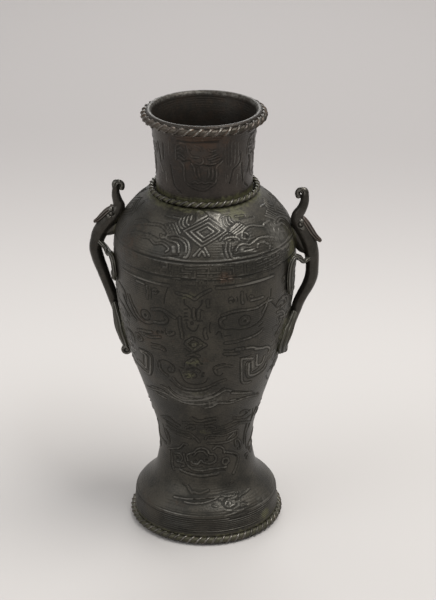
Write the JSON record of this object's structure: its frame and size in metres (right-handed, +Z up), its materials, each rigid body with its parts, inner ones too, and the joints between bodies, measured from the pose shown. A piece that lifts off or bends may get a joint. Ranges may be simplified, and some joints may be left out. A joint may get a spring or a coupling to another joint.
{
  "type": "bronze vase with two beast handles",
  "caption": "Baluster bronze vase on a domed foot, with twisted rings at lip, collar and foot and two slender beast handles on the shoulder; holds cut flowers or stands as decoration",
  "frame": {"origin": "centre of the foot, on the surface it stands on", "axes": "+Z up; the front faces -Y; the handles reach out along -X (left) and +X (right)"},
  "size_m": [0.1316, 0.1034, 0.25],
  "materials": {
    "vessel_bronze": "cast bronze, dark brown patina, rubbed semi-gloss",
    "rim_bronze": "cast bronze, brown patina, worn smooth",
    "rope_bronze": "twisted wire, brown patina with green in the grooves",
    "handle_bronze": "cast bronze, greenish black patina, smooth",
    "crest_bronze": "cast bronze, brown patina, combed",
    "plate_bronze": "cast bronze, dull, as cast",
    "rivet_bronze": "hammered bronze"
  },
  "bodies": {
    "root": {"foot": "vessel_bronze", "base_plate": "plate_bronze", "body": "vessel_bronze", "neck": "rim_bronze", "foot_rope": "rope_bronze", "collar_rope": "rope_bronze", "lip_rope": "rope_bronze", "left_handle": "handle_bronze", "left_crest": "crest_bronze", "left_foreleg": "handle_bronze", "left_hind_leg": "handle_bronze", "left_upper_rivet": "rivet_bronze", "left_lower_rivet": "rivet_bronze", "right_handle": "handle_bronze", "right_crest": "crest_bronze", "right_foreleg": "handle_bronze", "right_hind_leg": "handle_bronze", "right_upper_rivet": "rivet_bronze", "right_lower_rivet": "rivet_bronze"}
  },
  "joints": []
}
